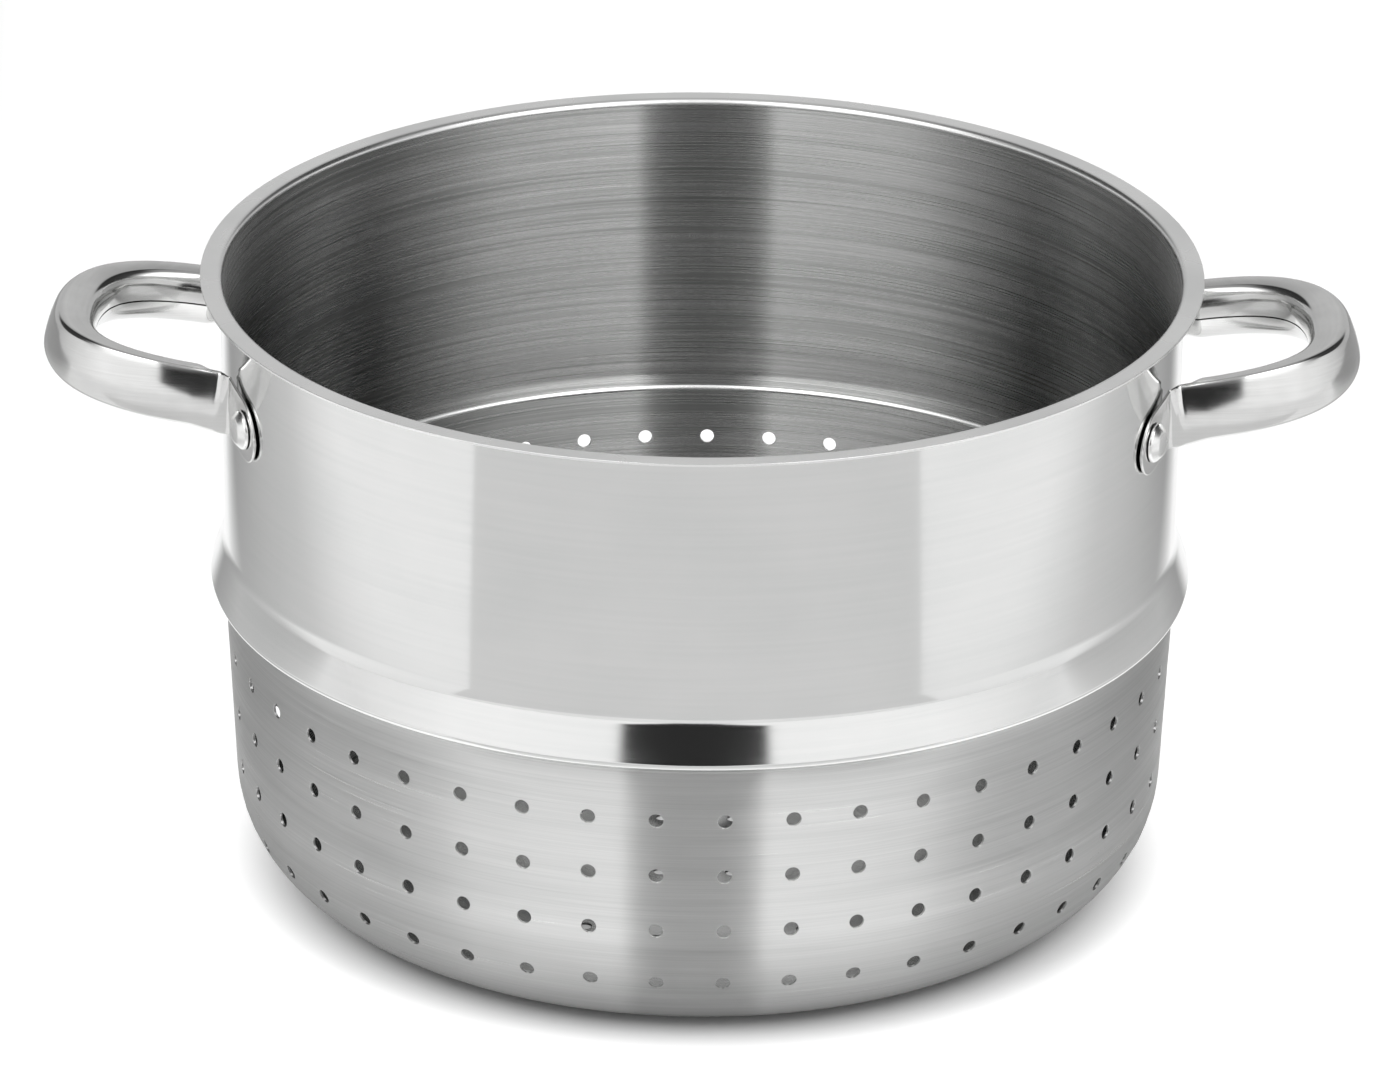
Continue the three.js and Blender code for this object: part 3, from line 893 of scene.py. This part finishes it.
def side_shade(tree):
    """How far painted shade greys the floor off: outside the camera's view, on both sides and behind."""
    x, y, _ = place_parts(tree)
    aside_by = math_node(tree, "ABSOLUTE", x)
    view_edge = math_node(tree, "ADD", math_node(tree, "MULTIPLY", y, VIEW_SPREAD), VIEW_HALF)
    past_view = math_node(tree, "SUBTRACT", aside_by, view_edge)
    aside = remap(tree, past_view, 0.0, 1.0, 0.0, SIDE_FADE)
    out_from_side = math_node(tree, "SUBTRACT", math_node(tree, "MINIMUM", aside_by, SIDE_MOST), SIDE_FROM)
    back = math_node(tree, "SUBTRACT", y, math_node(tree, "MULTIPLY", out_from_side, SIDE_SLOPE))

    # Half of the shade comes before this line and half behind it
    coming = remap(tree, back, 0.0, 0.5, BEHIND_START, 0.0)
    going = remap(tree, back, 0.0, 0.5, 0.0, BEHIND_FULL)
    return math_node(tree, "MULTIPLY", aside, math_node(tree, "ADD", coming, going))


def floor_paint(name, diffuse, glow, shaded):
    """Matt paper that shows white, with a painted shadow close round the basket and painted light near it;
    a shaded one also has painted shade that greys it off behind the object on both sides of the view.
    """
    paint, tree = new_finish(name)
    paint.cycles.emission_sampling = "NONE"
    tree.nodes.clear()
    matt = add(tree, "ShaderNodeBsdfDiffuse")
    light = add(tree, "ShaderNodeEmission")
    tone = add(tree, "ShaderNodeMix", data_type="RGBA")
    tone.inputs["A"].default_value = (1, 1, 1, 1)
    tone.inputs["B"].default_value = (SIDE_TONE, SIDE_TONE, SIDE_TONE, 1)
    tone.inputs["Factor"].default_value = 0.0
    # Painted shade greys the floor off outside the camera's view
    if shaded:
        wire(tree, side_shade(tree), tone.inputs["Factor"])
    dim = add(tree, "ShaderNodeMix", data_type="RGBA", blend_type="MULTIPLY")
    dim.inputs["Factor"].default_value = 1.0
    wire(tree, tone.outputs["Result"], dim.inputs["A"])
    dim.inputs["B"].default_value = (diffuse, diffuse, diffuse, 1)
    wire(tree, dim.outputs["Result"], matt.inputs["Color"])
    wire(tree, tone.outputs["Result"], light.inputs["Color"])
    coord = add(tree, "ShaderNodeTexCoord")
    from_axis = add(tree, "ShaderNodeVectorMath", operation="LENGTH")
    wire(tree, coord.outputs["Object"], from_axis.inputs[0])
    radius = from_axis.outputs["Value"]
    # Painted shadow: the glow fades out close to the basket; painted light: it grows near the basket,
    # lifting the floor out of the basket's own shadow
    past_painted_shadow = remap(tree, radius, 0.0, 1.0, SHADOW_FROM, SHADOW_TO)
    painted_light_near_basket = remap(tree, radius, 1.0 + NEAR_PAINTED_LIGHT, 1.0, NEAR_FROM, NEAR_TO)
    painted_glow_share = math_node(tree, "MULTIPLY", past_painted_shadow, painted_light_near_basket)
    strength = math_node(tree, "MULTIPLY", seen_share(tree), glow)
    wire(tree, math_node(tree, "MULTIPLY", strength, painted_glow_share), light.inputs["Strength"])
    both = add(tree, "ShaderNodeAddShader")
    wire(tree, matt.outputs[0], both.inputs[0])
    wire(tree, light.outputs[0], both.inputs[1])
    out = add(tree, "ShaderNodeOutputMaterial")
    wire(tree, both.outputs[0], out.inputs["Surface"])
    return paint


def flat_card(name, corners, height, paint):
    mesh = bpy.data.meshes.new(name)
    mesh.from_pydata([at(x, y, height) for x, y in corners], [], [tuple(range(len(corners)))])
    card = bpy.data.objects.new(name, mesh)
    bpy.context.scene.collection.objects.link(card)
    card.data.materials.append(paint)


def tone_ramp(tree, share, steps):
    """Brightness by (degrees, level) steps; share is the part of half a turn."""
    ramp = add(tree, "ShaderNodeValToRGB")
    wire(tree, share, ramp.inputs["Fac"])
    marks = ramp.color_ramp.elements
    while len(marks) < len(steps):
        marks.new(0.5)
    for mark, (degrees, level) in zip(marks, steps):
        mark.position = degrees / 180
        mark.color = (level, level, level, 1)
    return ramp.outputs["Color"]


def light_studio():
    """A soft room: pale walls low down, two tall soft boxes in front with a gap between, dim overhead."""
    world = bpy.data.worlds.new("studio")
    bpy.context.scene.world = world
    world.use_nodes = True
    tree = world.node_tree
    x, y, z = place_parts(tree, "Generated")
    swing = math_node(tree, "ARCTAN2", x, math_node(tree, "MULTIPLY", y, -1.0))
    share = math_node(tree, "DIVIDE", math_node(tree, "ABSOLUTE", swing), math.pi)
    rise = math_node(tree, "DIVIDE", math_node(tree, "ARCSINE", z), math.pi / 2)

    # The dark gap closes towards the floor
    in_front = remap(tree, share, 1.0, 0.0, GAP_FRONT / 180, GAP_SIDE / 180)
    closed = remap(tree, rise, GAP_HALF / 180, 0.0, GAP_FOOT / 90, GAP_FULL / 90)
    narrowed = math_node(tree, "MULTIPLY", in_front, closed)
    room = tone_ramp(tree, math_node(tree, "ADD", share, narrowed), LOW_LIGHT)

    def band_above(below, above, start, end):
        """Goes over from one band of the room to the one above it, between two heights in degrees."""
        blend = add(tree, "ShaderNodeMix", data_type="RGBA")
        wire(tree, remap(tree, rise, 0.0, 1.0, start / 90, end / 90), blend.inputs["Factor"])
        wire(tree, below, blend.inputs["A"])
        wire(tree, tone_ramp(tree, share, above), blend.inputs["B"])
        return blend.outputs["Result"]

    for above, start, end in BANDS_ABOVE:
        room = band_above(room, above, start, end)
    background = tree.nodes["Background"]
    wire(tree, room, background.inputs["Color"])
    background.inputs["Strength"].default_value = ROOM_STRENGTH

    lamp = bpy.data.lights.new("overhead_softbox", "AREA")
    lamp.shape = "DISK"
    lamp.size = LAMP_SIZE
    lamp.energy = LAMP_POWER
    softbox = bpy.data.objects.new("overhead_softbox", lamp)
    bpy.context.scene.collection.objects.link(softbox)
    softbox.location = LAMP_PLACE
    softbox.visible_glossy = False


def lay_floor():
    white = floor_paint("floor_white", FLOOR_TONE, FLOOR_GLOW, shaded=True)
    pale = floor_paint("floor_pale_grey", FRONT_TONE, FLOOR_GLOW * FRONT_GLOW, shaded=False)
    half = FLOOR_HALF / MM
    flat_card("floor", [(-half, -half), (half, -half), (half, half), (-half, half)], 0.0, white)
    aside, ahead = math.sin(FRONT_SWING), math.cos(FRONT_SWING)
    near = (FRONT_HALF + aside * FRONT_NEAR, FRONT_PLACE - ahead * FRONT_NEAR - FRONT_SETBACK)
    far = (FRONT_HALF + aside * FRONT_FAR, FRONT_PLACE - ahead * FRONT_FAR)
    corners = [(-near[0], near[1]), (-far[0], far[1]), far, near]
    flat_card("front_sheet", corners, FRONT_LIFT, pale)


def set_camera():
    lens = bpy.data.cameras.new("camera")
    camera = bpy.data.objects.new("camera", lens)
    bpy.context.scene.collection.objects.link(camera)
    lens.sensor_fit = "HORIZONTAL"
    lens.sensor_width = SENSOR
    lens.lens = LENS
    lens.clip_end = CAMERA_RANGE
    level = math.cos(CAMERA_RISE)
    way = Vector((math.sin(CAMERA_SWING) * level, -math.cos(CAMERA_SWING) * level, math.sin(CAMERA_RISE)))
    place = Matrix.Translation(at(0, 0, AIM_HEIGHT) + way * CAMERA_AWAY)
    facing = (-way).to_track_quat("-Z", "Y").to_matrix().to_4x4()
    camera.matrix_world = place @ facing @ Matrix.Rotation(CAMERA_ROLL, 4, "Z")
    bpy.context.scene.camera = camera


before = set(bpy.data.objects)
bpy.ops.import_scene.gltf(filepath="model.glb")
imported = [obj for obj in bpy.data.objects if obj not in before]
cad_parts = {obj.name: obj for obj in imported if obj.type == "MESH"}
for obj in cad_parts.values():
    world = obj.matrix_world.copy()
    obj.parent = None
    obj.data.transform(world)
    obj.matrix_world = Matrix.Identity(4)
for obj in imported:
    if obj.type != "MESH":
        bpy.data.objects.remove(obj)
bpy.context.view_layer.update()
bpy.context.scene.view_settings.view_transform = "Standard"

brushed_round = brushed_round_group()
buffed = buffed_group()
band_finish = polished_finish(
    "upper_wall_polished",
    buffed,
    dark=(0.69, 0.695, 0.69),
    light=(0.735, 0.735, 0.73),
    rough_low=0.07,
    rough_high=0.11,
    size=30.0,
)
wall_finish = brushed_finish(
    "lower_wall_brushed_shaded_low",
    brushed_round,
    dark=(0.58, 0.585, 0.58),
    light=(0.7, 0.7, 0.695),
    rough=0.29,
    grain=0.02,
    lines=2400.0,
    turns=16.0,
    groove=0.004,
    # Painted shade on the lower wall, darker towards the floor
    foot_shade=0.28,
)
# The streaks are the brushing; the tone, darker than the same steel outside, is painted shade for the
# basket's inside
inside_shaded_finish = brushed_finish(
    "inside_brushed_painted_shade",
    brushed_round,
    dark=(0.31, 0.315, 0.31),
    light=(0.67, 0.67, 0.665),
    rough=0.27,
    grain=0.05,
    lines=2300.0,
    turns=9.0,
    groove=0.004,
)
bottom_finish = brushed_finish(
    "bottom_brushed",
    brushed_round,
    dark=(0.64, 0.645, 0.64),
    light=(0.88, 0.88, 0.875),
    rough=0.25,
    grain=0.03,
    lines=1500.0,
    turns=10.0,
    groove=0.004,
)
lip_finish = polished_finish(
    "lip_polished",
    buffed,
    dark=(0.8, 0.805, 0.8),
    light=(0.86, 0.86, 0.855),
    rough_low=0.24,
    rough_high=0.32,
    size=40.0,
)
handle_finish = polished_finish(
    "handle_mirror",
    buffed,
    dark=(0.63, 0.63, 0.625),
    light=(0.7, 0.7, 0.695),
    rough_low=0.09,
    rough_high=0.15,
    size=90.0,
)
rivet_finish = polished_finish(
    "rivet_polished",
    buffed,
    dark=(0.72, 0.72, 0.715),
    light=(0.8, 0.8, 0.795),
    rough_low=0.20,
    rough_high=0.28,
    size=140.0,
)

shell = make_shell()
outer_finishes = [band_finish, wall_finish, lip_finish, wall_finish, wall_finish]
inner_finishes = [inside_shaded_finish, inside_shaded_finish, lip_finish, lip_finish, bottom_finish]
thicken_shell(shell, outer_finishes + inner_finishes)
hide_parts("basket_shell")
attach(shell, "root")

right_handle = make_handle()
take_finishes(right_handle, [handle_finish])
left_handle = turned_copy(right_handle, "loop_handle_left", math.pi)
for handle, node in ((right_handle, "handle_right"), (left_handle, "handle_left")):
    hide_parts(node)
    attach(handle, "root")

first_rivet = make_rivet()
take_finishes(first_rivet, [rivet_finish])
rivets = {
    "rivet_right_front": first_rivet,
    "rivet_right_rear": turned_copy(first_rivet, "button_rivet_right_rear", 2 * RIVET_ANGLE),
    "rivet_left_front": turned_copy(first_rivet, "button_rivet_left_front", math.pi + 2 * RIVET_ANGLE),
    "rivet_left_rear": turned_copy(first_rivet, "button_rivet_left_rear", math.pi),
}
for node, rivet in rivets.items():
    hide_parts(node)
    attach(rivet, "root")

lay_floor()
light_studio()
set_camera()
